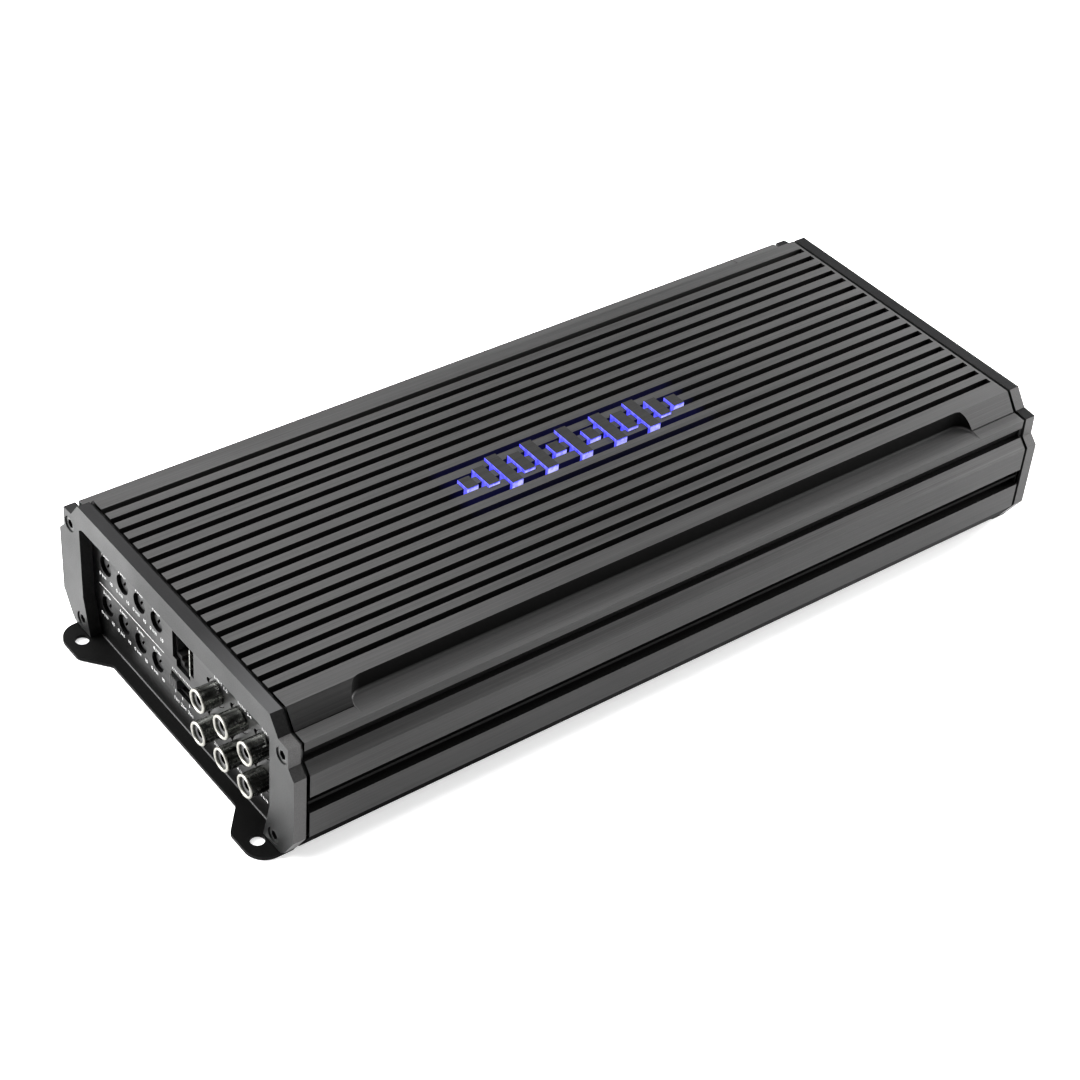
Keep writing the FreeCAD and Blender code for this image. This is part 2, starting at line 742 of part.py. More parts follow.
def make_jacks():
    front = size("jack_front")
    back = size("jack_back")
    panel_back = -size("body_half_length") + 0.1
    body = new_body("rca_housings")
    sketch = new_sketch(body, "YZ_Plane", panel_back)
    for y in jack_columns():
        add_rectangle(sketch, (y, size("jack_z")), 6.6, 13.2)
    pad(body, sketch, size("input_board_x") - panel_back)
    sketch = new_sketch(body, "YZ_Plane", panel_back - 1.2)
    for centre in jack_places():
        add_circle(sketch, centre, size("collar_radius"))
    pad(body, sketch, 1.3)
    sketch = new_sketch(body, "YZ_Plane", panel_back - 1.2)
    for centre in jack_places():
        add_circle(sketch, centre, size("shell_tail_radius") + 0.05)
    pocket(body, sketch, back - panel_back + 1.3, forward=True)
    shells = tubes("rca_shells", front, size("shell_length"), size("shell_radius"), size("shell_bore"))
    sketch = new_sketch(shells, "YZ_Plane", front + size("shell_length"))
    for centre in jack_places():
        add_circle(sketch, centre, size("shell_tail_radius"))
        add_circle(sketch, centre, size("shell_bore"))
    pad(shells, sketch, back - front - size("shell_length"))
    round_edges(shells, "Fillet", 0.25, lambda edge: rim_at(
        edge, 0, SIZES["jack_front"], SIZES["shell_radius"]))
    face = front + 0.8
    discs = tubes("rca_insulators", face, back - face, size("insulator_radius"), size("insulator_hole"))
    sketch = new_sketch(discs, "YZ_Plane", back)
    for centre in jack_places():
        add_circle(sketch, centre, size("contact_radius") + 0.05)
    pocket(discs, sketch, back - face - 1.0)
    tubes("rca_contacts", face + 1.1, back - face - 1.2, size("contact_radius"), size("socket_radius"))


def make_trim_pots():
    case_front = -size("body_half_length") + 0.1
    head_back = size("rotor_front") + size("rotor_head")
    half = size("pot_case_half")
    cases = []
    for y, z in pot_places():
        case = box((case_front, y - half, z - half), (size("input_board_x"), y + half, z + half))
        recess = cylinder((case_front - 1, y, z), "+x", 3.2, head_back - case_front + 1.2)
        bore = cylinder((case_front, y, z), "+x", size("pot_bore"), head_back - case_front + 6)
        cases.append(cut(case, [recess, bore]))
    group(cases, "trim_pot_bodies")
    for number, (y, z) in enumerate(pot_places(), start=1):
        head = cylinder((0, 0, 0), "+x", size("rotor_radius"), size("rotor_head"))
        shaft = cylinder((1, 0, 0), "+x", size("pot_shaft"), size("rotor_head") + 4.5)
        slot = block((0, 0, 0), (0.9, 1.95, 0.45))
        rotor = cut(fuse([head, shaft]), [slot])
        turn = FreeCAD.Rotation(FreeCAD.Vector(1, 0, 0), ROTOR_TURN)
        keep(place(rotor, (size("rotor_front"), y, z), turn), "trim_pot_rotor_%d" % number)


def remote_opening():
    """The stepped outline of the panel's opening for the remote socket."""
    y = size("remote_y")
    z = size("remote_z")
    wide = size("remote_half_width")
    tall = size("remote_half_height")
    return [
        (y - 4.3, z - tall), (y + 4.3, z - tall), (y + 4.3, z - tall + 2.6),
        (y + wide, z - tall + 2.6), (y + wide, z + tall), (y - wide, z + tall),
        (y - wide, z - tall + 2.6), (y - 4.3, z - tall + 2.6),
    ]


def make_remote_jack():
    y = size("remote_y")
    z = size("remote_z")
    body = new_body("remote_jack")
    front = -size("body_half_length") + 0.1
    sketch = new_sketch(body, "YZ_Plane", front)
    add_rectangle(sketch, (y, z), 7.7, 7.9)
    pad(body, sketch, size("input_board_x") - front)
    sketch = new_sketch(body, "YZ_Plane", front)
    add_polygon(sketch, [
        (y - 1.6, z - 5.6), (y + 1.6, z - 5.6), (y + 1.6, z - 4.2), (y + 3.1, z - 4.2),
        (y + 3.1, z - 2.6), (y + 5.9, z - 2.6), (y + 5.9, z + 4.6), (y - 5.9, z + 4.6),
        (y - 5.9, z - 2.6), (y - 3.1, z - 2.6), (y - 3.1, z - 4.2), (y - 1.6, z - 4.2),
    ])
    pocket(body, sketch, 9.0, forward=True)
    contacts = []
    for step in range(8):
        middle = y + (step - 3.5) * 1.02
        rail = box((front + 1.0, middle - 0.2, z + 4.15), (front + 8.0, middle + 0.2, z + 4.55))
        prong = box((front + 6.2, middle - 0.2, z + 2.2), (front + 6.6, middle + 0.2, z + 4.3))
        contacts.append(fuse([rail, prong]))
    group(contacts, "remote_jack_contacts")


def make_mode_switch():
    y = size("switch_y")
    z = size("switch_z")
    front = -size("body_half_length") + 0.1
    knob_half = size("slider_half_width")
    knob_tall = size("slider_half_height")
    case = box((front, y - 9.6, z - 4.9), (front + 8, y + 9.6, z + 4.9))
    slot = box((front - 1, y - 6.9, z - knob_tall - 0.4), (front + 4, y + 6.9, z + knob_tall + 0.4))
    chamber = box((front + 2.4, y - 8.6, z - 3.6), (front + 5.2, y + 8.6, z + 3.6))
    keep(cut(case, [slot, chamber]), "mode_switch_body")
    middle = size("slider_y")
    knob = box((front - 2.3, middle - knob_half, z - knob_tall),
               (front + 3.5, middle + knob_half, z + knob_tall))
    carrier = box((front + 2.8, middle - 3.4, z - 3.2), (front + 4.8, middle + 3.4, z + 3.2))
    ridges = [box((front - 2.4, middle + step * 1.3 - 0.3, z - knob_tall - 1),
                  (front - 2.0, middle + step * 1.3 + 0.3, z + knob_tall + 1)) for step in (-1, 0, 1)]
    keep(cut(fuse([knob, carrier]), ridges), "mode_switch_slider")


# ---------------------------------------------------------------- output end

def power_half():
    return size("power_pitch") * (POWER_WAYS / 2) + 0.8


def speaker_half():
    return size("speaker_pitch") * (SPEAKER_WAYS / 2) + 0.5


def fuse_half():
    return size("fuse_pitch") + 0.1


def ways(middle, pitch, count):
    return [middle + pitch * (index - (count - 1) / 2) for index in range(count)]


def make_terminals(kind, count, half, tall, wall, screw):
    """A barrier strip: base block, divider plates, and a plated tab and clamp screw in each way."""
    centre = size(kind + "_y")
    z = size(kind + "_z")
    pitch = size(kind + "_pitch")
    head_radius, head_height, radius, tab_thick = screw
    seat = 151.5
    tip = 159.3
    middles = ways(centre, pitch, count)
    case = box((141, centre - half, z - tall), (seat, centre + half, z + tall))
    edges = [centre + pitch * (index - count / 2) for index in range(count + 1)]
    dividers = [box((seat, y - wall / 2, z - tall), (tip, y + wall / 2, z + tall)) for y in edges]
    bores = [cylinder((seat - 8, y, z), "+x", radius + 0.1, 9) for y in middles]
    group([cut(case, bores)] + dividers, kind + "_terminal_housing")
    tab_half = (pitch - wall) / 2 - 0.15
    tabs = []
    for y in middles:
        tab = box((seat + 0.05, y - tab_half, z - tall + 1), (seat + 0.05 + tab_thick, y + tab_half,
                                                              z + tall - 1))
        tabs.append(cut(tab, [cylinder((seat - 1, y, z), "+x", radius + 0.1, 4)]))
    group(tabs, kind + "_terminal_tabs")
    for number, y in enumerate(middles, start=1):
        top = as_size(seat) + tab_thick + head_height + 0.1
        clamp = pan_screw((top, y, z), "-x", head_radius, head_height, radius, 7.0)
        keep(clamp, "%s_terminal_screw_%d" % (kind, number))


def make_fuses():
    y0 = size("fuse_y")
    z = size("fuse_z")
    half = fuse_half()
    seat = 150.2
    holder = box((140.5, y0 - half, z - 6.2), (157.0, y0 + half, z + 6.2))
    pockets = []
    for sign in (-1, 1):
        y = y0 + size("fuse_pitch") * (sign / 2)
        pockets.append(box((seat, y - 9.9, z - 3.0), (158, y + 9.9, z + 3.0)))
        for blade in (-1, 1):
            pockets.append(block((seat - 3.5, y + blade * 6.8, z), (4.4, 3.0, 0.7)))
    keep(cut(holder, pockets), "fuse_holder")
    for number, sign in enumerate((-1, 1), start=1):
        y = y0 + size("fuse_pitch") * (sign / 2)
        crown = box((seat + 8.2, y - 9.4, z - 2.5), (seat + 12.0, y + 9.4, z + 2.5))
        stem = box((seat + 0.3, y - 8.6, z - 1.9), (seat + 8.4, y + 8.6, z + 1.9))
        blades = [box((seat - 7.0, y + blade * 6.8 - 2.6, z - 0.35),
                      (seat + 1.0, y + blade * 6.8 + 2.6, z + 0.35)) for blade in (-1, 1)]
        windows = [block((seat + 12.0, y + blade * 6.2, z), (1.2, 1.6, 1.2)) for blade in (-1, 1)]
        keep(cut(fuse([crown, stem] + blades), windows), "fuse_%d" % number)


def led_places():
    return [as_size(-12.0), as_size(-20.0)]


def make_status_leds():
    lamps = []
    for y in led_places():
        barrel = cylinder((148, y, size("fuse_z")), "+x", 1.5, 8.5)
        collar = cylinder((148, y, size("fuse_z")), "+x", 2.3, 1.2)
        lamps.append(fuse([barrel, collar]))
    group(lamps, "status_leds")


# ---------------------------------------------------------------- inside

def standoff_places():
    return [(x * size("standoff_x"), sign * size("standoff_y")) for x in (-1, 0, 1) for sign in (1, -1)]


def make_boards():
    low = size("board_low")
    top = low + size("board_thick")
    half = size("board_half_width")
    board = box((size("board_start"), -half, low), (size("board_end"), half, top))
    holes = [cylinder((x, y, low - 1), "+z", 1.6, 4) for x, y in standoff_places()]
    keep(cut(board, holes), "main_board")
    posts = []
    for x, y in standoff_places():
        post = hexagon((x, y, size("sheet")), "+z", 3.4, low - size("sheet"))
        posts.append(cut(post, [cylinder((x, y, low - 7), "+z", 1.5, 8)]))
    group(posts, "board_standoffs")
    screws = []
    for x, y in standoff_places():
        head = cylinder((x, y, top), "+z", 2.75, 2.0)
        shank = cylinder((x, y, top - 6.5), "+z", 1.45, 7)
        slot = block((x, y, top + 2), (1.8, 0.35, 0.8))
        screws.append(cut(fuse([head, shank]), [slot]))
    group(screws, "board_screws")
    start = size("input_board_x")
    keep(box((start, -size("input_board_half"), size("input_board_low")),
             (start + size("board_thick"), size("input_board_half"), size("input_board_top"))),
         "input_board")


def board_top():
    return size("board_low") + size("board_thick")


def make_transformer():
    """A ferrite core with two windows and the winding round its middle leg."""
    x = size("transformer_x")
    low = board_top() + 5.2
    core = box((x - 20, -22, low), (x + 20, 22, low + 16))
    windows = [box((x + near_side, -14, low - 1), (x + far_side, 14, low + 17))
               for near_side, far_side in ((-15, -6), (6, 15))]
    keep(cut(core, windows), "transformer_core")
    coil = box((x - 14.5, -13.5, low - 5), (x + 14.5, 13.5, low + 21))
    leg = box((x - 6.3, -14.5, low - 0.3), (x + 6.3, 14.5, low + 16.3))
    keep(cut(coil, [leg]), "transformer_winding")


def make_board_parts():
    low = board_top() + 0.1
    coils = []
    for step in (-2, -1, 0, 1, 2):
        place_xy = (size("inductor_x"), 22 * step)
        ring = cylinder((*place_xy, low), "+z", 10, 9)
        coils.append(cut(ring, [cylinder((*place_xy, low - 1), "+z", 4, 12)]))
    group(coils, "output_inductors")
    cans = [cylinder((x, y, low), "+z", size("capacitor_radius"), size("capacitor_height"))
            for x in (-6, 24) for y in (-36, -12, 12, 36)]
    group(cans, "filter_capacitors")


def make_transistors():
    """Power transistors held against both side walls by a steel bar."""
    wall = size("cavity_half") - 0.1
    low = board_top() + 0.1
    packages = []
    bars = []
    screws = []
    for sign in (1, -1):
        for index in range(10):
            x = size("transistor_start") + size("transistor_pitch") * index
            case = block((x, sign * (wall - 2.3), low + 11), (5, 2.3, 8))
            legs = [block((x + step * 2.5, sign * (wall - 3), low + 2.5), (0.4, 0.4, 2.5))
                    for step in (-1, 0, 1)]
            packages.append(fuse([case] + legs))
        start = size("transistor_start") - 8
        bar = block((start + 107, sign * (wall - 6.3), 28), (107, 1.6, 4))
        holes = []
        direction = "+y" if sign > 0 else "-y"
        for x in clamp_screw_places():
            holes.append(cylinder((x, sign * (wall - 9), 28), direction, 1.65, 5))
            head = cylinder((x, sign * (wall - 10.4), 28), direction, 2.8, 2.4)
            shank = cylinder((x, sign * (wall - 9), 28), direction, 1.4, 13)
            socket = hexagon((x, sign * (wall - 10.9), 28), direction, 1.4, 1.8)
            screws.append(cut(fuse([head, shank]), [socket]))
        bars.append(cut(bar, holes))
    group(packages, "power_transistors")
    group(bars, "clamp_bars")
    group(screws, "clamp_screws")


# ---------------------------------------------------------------- check and write

def check_document():
    for item in doc.Objects:
        if "Invalid" in item.State or "Error" in item.State:
            raise RuntimeError("%s (%s) failed: %s" % (item.Name, item.Label, item.State))
    for item in subparts:
        if item.Shape.isNull() or not item.Shape.isValid() or not item.Shape.Solids:
            raise RuntimeError("%s has no valid solid" % item.Label)


def write_parts():
    os.makedirs("parts", exist_ok=True)
    for item in subparts:
        item.Shape.exportStep("parts/%s.step" % item.Label)
        print("%-28s %3d solids %10.1f mm3" % (item.Label, len(item.Shape.Solids), item.Shape.Volume))


def main():
    fill_sheet()
    make_heatsink()
    make_end_frame("input_end_frame", -1)
    make_end_frame("output_end_frame", 1)
    make_input_panel()
    make_output_panel()
    make_bottom_plate()
    make_enclosure_screws()
    make_badge()
    make_jacks()
    make_trim_pots()
    make_remote_jack()
    make_mode_switch()
    make_terminals("power", POWER_WAYS, power_half(), 9.5, 1.6, (5.0, 3.0, 2.45, 1.2))
    make_terminals("speaker", SPEAKER_WAYS, speaker_half(), 7.0, 1.0, (2.3, 1.8, 1.45, 0.9))
    make_fuses()
    make_status_leds()
    make_boards()
    make_transformer()
    make_board_parts()
    make_transistors()
    doc.recompute()
    check_document()
    write_parts()


main()
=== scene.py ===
import math

import bmesh
import bpy
from mathutils import Matrix, Vector


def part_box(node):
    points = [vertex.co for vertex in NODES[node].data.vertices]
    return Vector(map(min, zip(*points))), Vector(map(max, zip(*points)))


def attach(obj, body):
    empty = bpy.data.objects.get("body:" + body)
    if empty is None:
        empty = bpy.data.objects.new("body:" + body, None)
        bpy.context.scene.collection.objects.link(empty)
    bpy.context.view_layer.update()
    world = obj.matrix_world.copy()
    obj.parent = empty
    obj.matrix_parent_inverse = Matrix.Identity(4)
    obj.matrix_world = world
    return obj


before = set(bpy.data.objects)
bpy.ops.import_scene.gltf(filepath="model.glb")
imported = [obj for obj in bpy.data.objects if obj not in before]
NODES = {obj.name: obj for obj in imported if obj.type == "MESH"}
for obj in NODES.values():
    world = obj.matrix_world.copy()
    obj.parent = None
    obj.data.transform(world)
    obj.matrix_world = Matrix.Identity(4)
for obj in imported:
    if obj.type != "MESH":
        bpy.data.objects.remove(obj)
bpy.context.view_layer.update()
MM = 0.001

# places on the amplifier, in millimetres
DIALS = ["trim_pot_rotor_%d" % number for number in range(1, 9)]
PRINT_LEVEL = 155.53
POT_Y = (49.8, 38.8, 27.8, 16.8)
POT_Z = (34.65, 17.25)
JACK_Y = (-20.65, -34.65, -48.65)
JACK_Z = (32.65, 18.65)
JACK_MOUTH_X = -162.7
POWER_Y, POWER_PITCH = 33.0, 14.0
SPEAKER_Y, SPEAKER_PITCH = -23.5, 6.2
SHIELD_Z = (26.4, 37.7)


# ------------------------------------------------------------------ material graphs

class Graph:
    """A node material around one Principled shader, with patterns fixed to the object."""

    def __init__(self, name, color, roughness, metallic=0.0, **sockets):
        self.material = bpy.data.materials.new(name)
        self.material.use_nodes = True
        self.tree = self.material.node_tree
        self.shader = self.tree.nodes["Principled BSDF"]
        self.color = (*color, 1.0)
        self.set("Base Color", self.color)
        self.set("Roughness", roughness)
        self.set("Metallic", metallic)
        for socket, value in sockets.items():
            self.set(socket.replace("_", " "), value)
        self.place = self.add("ShaderNodeTexCoord").outputs["Object"]
        self.heights = None

    def set(self, socket, value):
        self.shader.inputs[socket].default_value = value

    def add(self, kind, **settings):
        node = self.tree.nodes.new(kind)
        for key, value in settings.items():
            setattr(node, key, value)
        return node

    def join(self, source, target):
        self.tree.links.new(source, target)

    def feed(self, source, socket):
        self.join(source, self.shader.inputs[socket])

    def noise(self, stretch, detail=2.0, rough=0.5):
        """Noise whose grain is this many cells per metre along X, Y and Z."""
        mapping = self.add("ShaderNodeMapping")
        mapping.inputs["Scale"].default_value = stretch
        self.join(self.place, mapping.inputs["Vector"])
        noise = self.add("ShaderNodeTexNoise")
        noise.inputs["Scale"].default_value = 1.0
        noise.inputs["Detail"].default_value = detail
        noise.inputs["Roughness"].default_value = rough
        self.join(mapping.outputs["Vector"], noise.inputs["Vector"])
        return noise.outputs["Fac"]

    def ramp(self, source, low, high, start=0.0, end=1.0):
        """Maps start to end onto low to high, which are both colours or both numbers."""
        if isinstance(low, tuple):
            ramp = self.add("ShaderNodeValToRGB")
            ramp.color_ramp.elements[0].position = start
            ramp.color_ramp.elements[1].position = end
            ramp.color_ramp.elements[0].color = (*low, 1.0)
            ramp.color_ramp.elements[1].color = (*high, 1.0)
            self.join(source, ramp.inputs["Fac"])
            return ramp.outputs["Color"]
        span = self.add("ShaderNodeMapRange")
        limits = {"From Min": start, "From Max": end, "To Min": low, "To Max": high}
        for socket, value in limits.items():
            span.inputs[socket].default_value = value
        self.join(source, span.inputs["Value"])
        return span.outputs["Result"]

    def math(self, operation, first, second):
        node = self.add("ShaderNodeMath", operation=operation)
        for index, value in enumerate((first, second)):
            if isinstance(value, (int, float)):
                node.inputs[index].default_value = value
            else:
                self.join(value, node.inputs[index])
        return node.outputs[0]

    def mix(self, factor, first, second):
        """Mixes two colours, each a tuple or another node's output."""
        node = self.add("ShaderNodeMix", data_type="RGBA")
        self.join(factor, node.inputs["Factor"])
        for name, value in (("A", first), ("B", second)):
            socket = [item for item in node.inputs
                      if item.name == name and item.type == "RGBA"][0]
            if isinstance(value, tuple):
                socket.default_value = (*value, 1.0)
            else:
                self.join(value, socket)
        return [item for item in node.outputs if item.type == "RGBA"][0]

    def bump(self, height, strength, distance):
        bump = self.add("ShaderNodeBump")
        bump.inputs["Strength"].default_value = strength
        bump.inputs["Distance"].default_value = distance
        self.join(height, bump.inputs["Height"])
        if self.heights is not None:
            self.join(self.heights, bump.inputs["Normal"])
        self.heights = bump.outputs["Normal"]
        self.feed(self.heights, "Normal")

    def axis(self, name):
        split = self.add("ShaderNodeSeparateXYZ")
        self.join(self.place, split.inputs[0])
        return split.outputs[name]


def shade(color, factor):
    return tuple(channel * factor for channel in color)


def brushed(name, color, roughness=0.42, metallic=0.9, along=(14, 2600, 2600), contrast=0.30,
            grain=0.5, grain_axis=(1.0, 0.0, 0.0)):
    """Metal brushed along one axis: fine streaks, broader bands and a faint mottle."""
    graph = Graph(name, color, roughness, metallic, Anisotropic=0.55)
    fine = graph.noise(along, 3.0, 0.65)
    bands = graph.noise(tuple(value * 0.12 for value in along), 2.0)
    cloud = graph.noise((22, 22, 22), 3.0)
    speck = graph.noise((2400, 2400, 2400), 2.0, 0.7)
    streaks = graph.math("ADD", graph.math("MULTIPLY", fine, 0.5),
                         graph.math("MULTIPLY", bands, 0.3))
    streaks = graph.math("ADD", streaks, graph.math("MULTIPLY", cloud, 0.2))
    low = shade(color, 1.0 - contrast)
    high = shade(color, 1.0 + contrast)
    graph.feed(graph.ramp(streaks, low, high, 0.32, 0.68), "Base Color")
    graph.feed(graph.ramp(bands, roughness - 0.05, roughness + 0.07, 0.3, 0.7), "Roughness")
    graph.bump(fine, 0.25, 0.00004)
    graph.bump(speck, grain, 0.00003)
    cross = graph.add("ShaderNodeVectorMath", operation="CROSS_PRODUCT")
    graph.join(graph.add("ShaderNodeNewGeometry").outputs["Normal"], cross.inputs[0])
    cross.inputs[1].default_value = grain_axis
    graph.feed(cross.outputs["Vector"], "Tangent")
    return graph


def coated(name, color, roughness=0.5, speckle=0.35, depth=0.00004, size=1500, **sockets):
    """A satin coat with a fine pebbled surface."""
    graph = Graph(name, color, roughness, **sockets)
    pebble = graph.noise((size, size, size), 2.0, 0.6)
    cloud = graph.noise((35, 35, 35), 3.0)
    graph.feed(graph.ramp(pebble, shade(color, 1 - speckle), shade(color, 1 + speckle), 0.3, 0.7),
               "Base Color")
    graph.feed(graph.ramp(cloud, roughness - 0.06, roughness + 0.08, 0.3, 0.7), "Roughness")
    graph.bump(pebble, 0.5, depth)
    return graph


def moulded(name, color, roughness=0.45, size=900, **sockets):
    """Moulded plastic: soft gloss, a slight ripple and faint handling marks."""
    graph = Graph(name, color, roughness, **sockets)
    ripple = graph.noise((size, size, size), 2.0)
    marks = graph.noise((60, 260, 60), 4.0, 0.7)
    graph.feed(graph.ramp(marks, roughness - 0.1, roughness + 0.12, 0.3, 0.7), "Roughness")
    graph.feed(graph.ramp(ripple, shade(color, 0.82), shade(color, 1.2), 0.3, 0.7), "Base Color")
    graph.bump(ripple, 0.35, 0.00003)
    return graph


def plated(name, color, roughness=0.18, size=400, **sockets):
    """Bright plating with fine scratches and a few duller patches."""
    graph = Graph(name, color, roughness, 1.0, **sockets)
    patch = graph.noise((size, size, size), 3.0, 0.6)
    scratch = graph.noise((300, 5000, 900), 2.0, 0.7)
    graph.feed(graph.ramp(patch, roughness * 0.7, roughness * 1.6, 0.3, 0.7), "Roughness")
    graph.feed(graph.ramp(patch, shade(color, 0.9), shade(color, 1.06), 0.35, 0.65), "Base Color")
    graph.bump(scratch, 0.2, 0.00001)
    return graph


DARK = (0.0465, 0.046, 0.046)
BLACK = (0.012, 0.012, 0.012)

brushed_dark = brushed("brushed_dark", DARK)
# painted shade: near-black for grooves, slots, the body's inside, screw sockets, dial rims and
# slots and jack bores; it also carries a painted blue glow near the badge
painted_shade_and_glow = coated("painted_shade_and_glow", (0.003, 0.003, 0.003), 0.75, 0.3)
painted_shade_and_glow.set("Specular IOR Level", 0.04)
flange_black = coated("flange_black", (0.0022, 0.0022, 0.0022), 0.5, 0.5, size=2600)
flange_black.set("Specular IOR Level", 0.05)
# painted highlight: a lighter copy of the flange black along the panel's bend
bend_highlight = coated("bend_highlight", (0.016, 0.016, 0.016), 0.55, 0.3, size=2600, Metallic=0.5)
frame_coat = coated("frame_coat", (0.0172, 0.0176, 0.0176), 0.42, 0.5, size=2200, Metallic=0.6)
frame_coat.set("Specular IOR Level", 0.24)
# painted shade: the frame's top faces get a darker copy of its coat
frame_rim = coated("frame_rim", (0.009, 0.009, 0.0095), 0.5, 0.45, size=2600, Metallic=0.3)
frame_rim.set("Specular IOR Level", 0.12)
# these gradients follow the studio light: the rim along Y, the chamfer along X, the panel by height
toward = frame_rim.ramp(frame_rim.axis("Y"), 0.0, 1.0, -0.055, -0.015)
frame_rim.feed(frame_rim.mix(toward, (0.038, 0.038, 0.039), (0.0078, 0.0078, 0.0082)), "Base Color")
# painted shade: near-black on the frame's top slants and opening walls and on the pot bodies seen
# through the panel
reveal_shade = coated("reveal_shade", (0.005, 0.005, 0.005), 0.55, 0.4)
reveal_shade.set("Specular IOR Level", 0.1)
# painted shade: the output frame's top gets a darker copy still
far_rim = coated("far_rim", (0.0045, 0.0045, 0.0048), 0.6, 0.45, size=2600)
far_rim.set("Specular IOR Level", 0.04)
# painted light: the frame's outer sides, upper steps and lower chamfer get a smoother, lighter copy
# of its coat
frame_edge = coated("frame_edge", (0.047, 0.046, 0.046), 0.42, 0.2, size=2600, Metallic=0.85)
# painted light and shade: the ledge and the sides get darker copies of the brushed body, and the
# low slant a lighter one
ledge_shaded_copy = brushed("ledge_shaded_copy", shade(DARK, 0.92), 0.55, 0.7)
side_shaded_copy = brushed("side_shaded_copy", shade(DARK, 0.78))
slant_lit_copy = brushed("slant_lit_copy", shade(DARK, 1.2))
# painted shade: the rib in the lower slot is near-black
rib_shade = coated("rib_shade", (0.005, 0.005, 0.005), 0.65, 0.3)
rib_shade.set("Specular IOR Level", 0.04)
# painted shade: the bottom chamfer gets a darker copy of the body, without specular
chamfer_dark = coated("chamfer_dark", (0.05, 0.05, 0.05), 0.7, 0.25)
chamfer_dark.set("Specular IOR Level", 0.0)
along = chamfer_dark.ramp(chamfer_dark.axis("X"), 0.0, 1.0, -0.09, 0.12)
along = chamfer_dark.ramp(along, (0.0062, 0.0062, 0.0062), (0.039, 0.039, 0.039))
chamfer_dark.feed(along, "Base Color")
panel_metal = brushed("panel_metal", (0.055, 0.055, 0.055), 0.34, 0.8, (30, 60, 2400), 0.22,
                      grain_axis=(0.0, 1.0, 0.0))
# painted shade: the panel darkens toward its foot and, as a painted shadow, near the frame's +Y
# wall
fall = panel_metal.ramp(panel_metal.axis("Z"), 0.0, 1.0, 0.009, 0.038)
lit_base = panel_metal.mix(fall, (0.0035, 0.0035, 0.0035), (0.030, 0.030, 0.030))
shadow = panel_metal.ramp(panel_metal.axis("Y"), 0.0, 1.0, 0.0505, 0.0555)
panel_metal.feed(panel_metal.mix(shadow, lit_base, (0.0025, 0.0025, 0.0025)), "Base Color")
panel_metal.set("Specular IOR Level", 0.1)
plate_coat = coated("plate_coat", (0.022, 0.022, 0.023), 0.5, 0.4)
screw_black = plated("screw_black", (0.07, 0.07, 0.07), 0.35)
plastic_black = moulded("plastic_black", (0.008, 0.008, 0.008), 0.38)
plastic_black.set("Specular IOR Level", 0.3)
dial_grey = moulded("dial_grey", (0.012, 0.012, 0.012), 0.42)
dial_grey.set("Specular IOR Level", 0.3)
plastic_grey = moulded("plastic_grey", (0.055, 0.055, 0.055), 0.5)
nickel = plated("nickel", (0.66, 0.66, 0.65), 0.16)
brass = plated("brass", (0.62, 0.44, 0.20), 0.3)
tin = plated("tin", (0.30, 0.295, 0.28), 0.36)
zinc = plated("zinc", (0.24, 0.24, 0.24), 0.34)
board_green = moulded("board_green", (0.012, 0.06, 0.03), 0.35)
ferrite = moulded("ferrite", (0.03, 0.03, 0.032), 0.7)
copper = plated("copper", (0.55, 0.23, 0.10), 0.32)
sleeve = moulded("sleeve", (0.02, 0.02, 0.03), 0.25)
fuse_body = moulded("fuse_body", (0.36, 0.15, 0.012), 0.22, Transmission_Weight=0.2)
lens = moulded("lens", (0.16, 0.19, 0.24), 0.12, Transmission_Weight=0.3)
print_white = coated("print_white", (0.60, 0.60, 0.60), 0.6, 0.10)
lip_bright = plated("lip_bright", (0.31, 0.305, 0.28), 0.4)
jack_dark = plated("jack_dark", (0.15, 0.152, 0.145), 0.20)
# painted reflection: streaks along the jack barrels stand in for reflected light
painted_streaks = jack_dark.noise((50, 1100, 1100), 3.0, 0.6)
painted_streaks = jack_dark.ramp(painted_streaks, (0.085, 0.088, 0.080), (0.46, 0.47, 0.44), 0.38, 0.66)
jack_dark.feed(painted_streaks, "Base Color")
# painted shade: the contacts deep in the jack bores are near-black
bore_shade = plated("bore_shade", (0.014, 0.010, 0.008), 0.5)

# painted shade: the recess is black at its wall and fades to the brushed finish where its floor
# levels out
recess = brushed("recess", DARK)
recess.set("Specular IOR Level", 0.03)
span = recess.ramp(recess.axis("Z"), 0.0, 1.0, 0.04915, 0.0500)
recess_shade = recess.mix(span, DARK, shade(BLACK, 0.3))
recess.feed(recess_shade, "Base Color")
recess.feed(recess.ramp(span, 0.9, 0.0), "Metallic")
recess.feed(recess.ramp(span, 0.42, 0.8), "Roughness")


def lit(name, low, high, strength):
    """Clear plastic lit from below: the glow is uneven where it leaves the edge."""
    graph = Graph(name, (0.03, 0.03, 0.6), 0.25)
    cells = graph.noise((700, 700, 500), 3.0, 0.6)
    graph.feed(graph.ramp(cells, low, high, 0.34, 0.66), "Emission Color")
    graph.set("Emission Strength", strength)
    return graph


lit_blue = lit("lit_blue", (0.035, 0.035, 0.80), (0.16, 0.16, 1.0), 1.05)
# painted highlight: the light guide's -Y faces glow paler
lit_pale = lit("lit_pale", (0.26, 0.26, 1.0), (0.62, 0.62, 1.0), 1.05)
# painted glow: the metal caps' side faces glow blue
cap_painted_glow = lit("cap_painted_glow", (0.05, 0.05, 0.55), (0.26, 0.26, 0.95), 0.9)
cap_dark = brushed("cap_dark", shade(DARK, 0.5), 0.45, contrast=0.4)


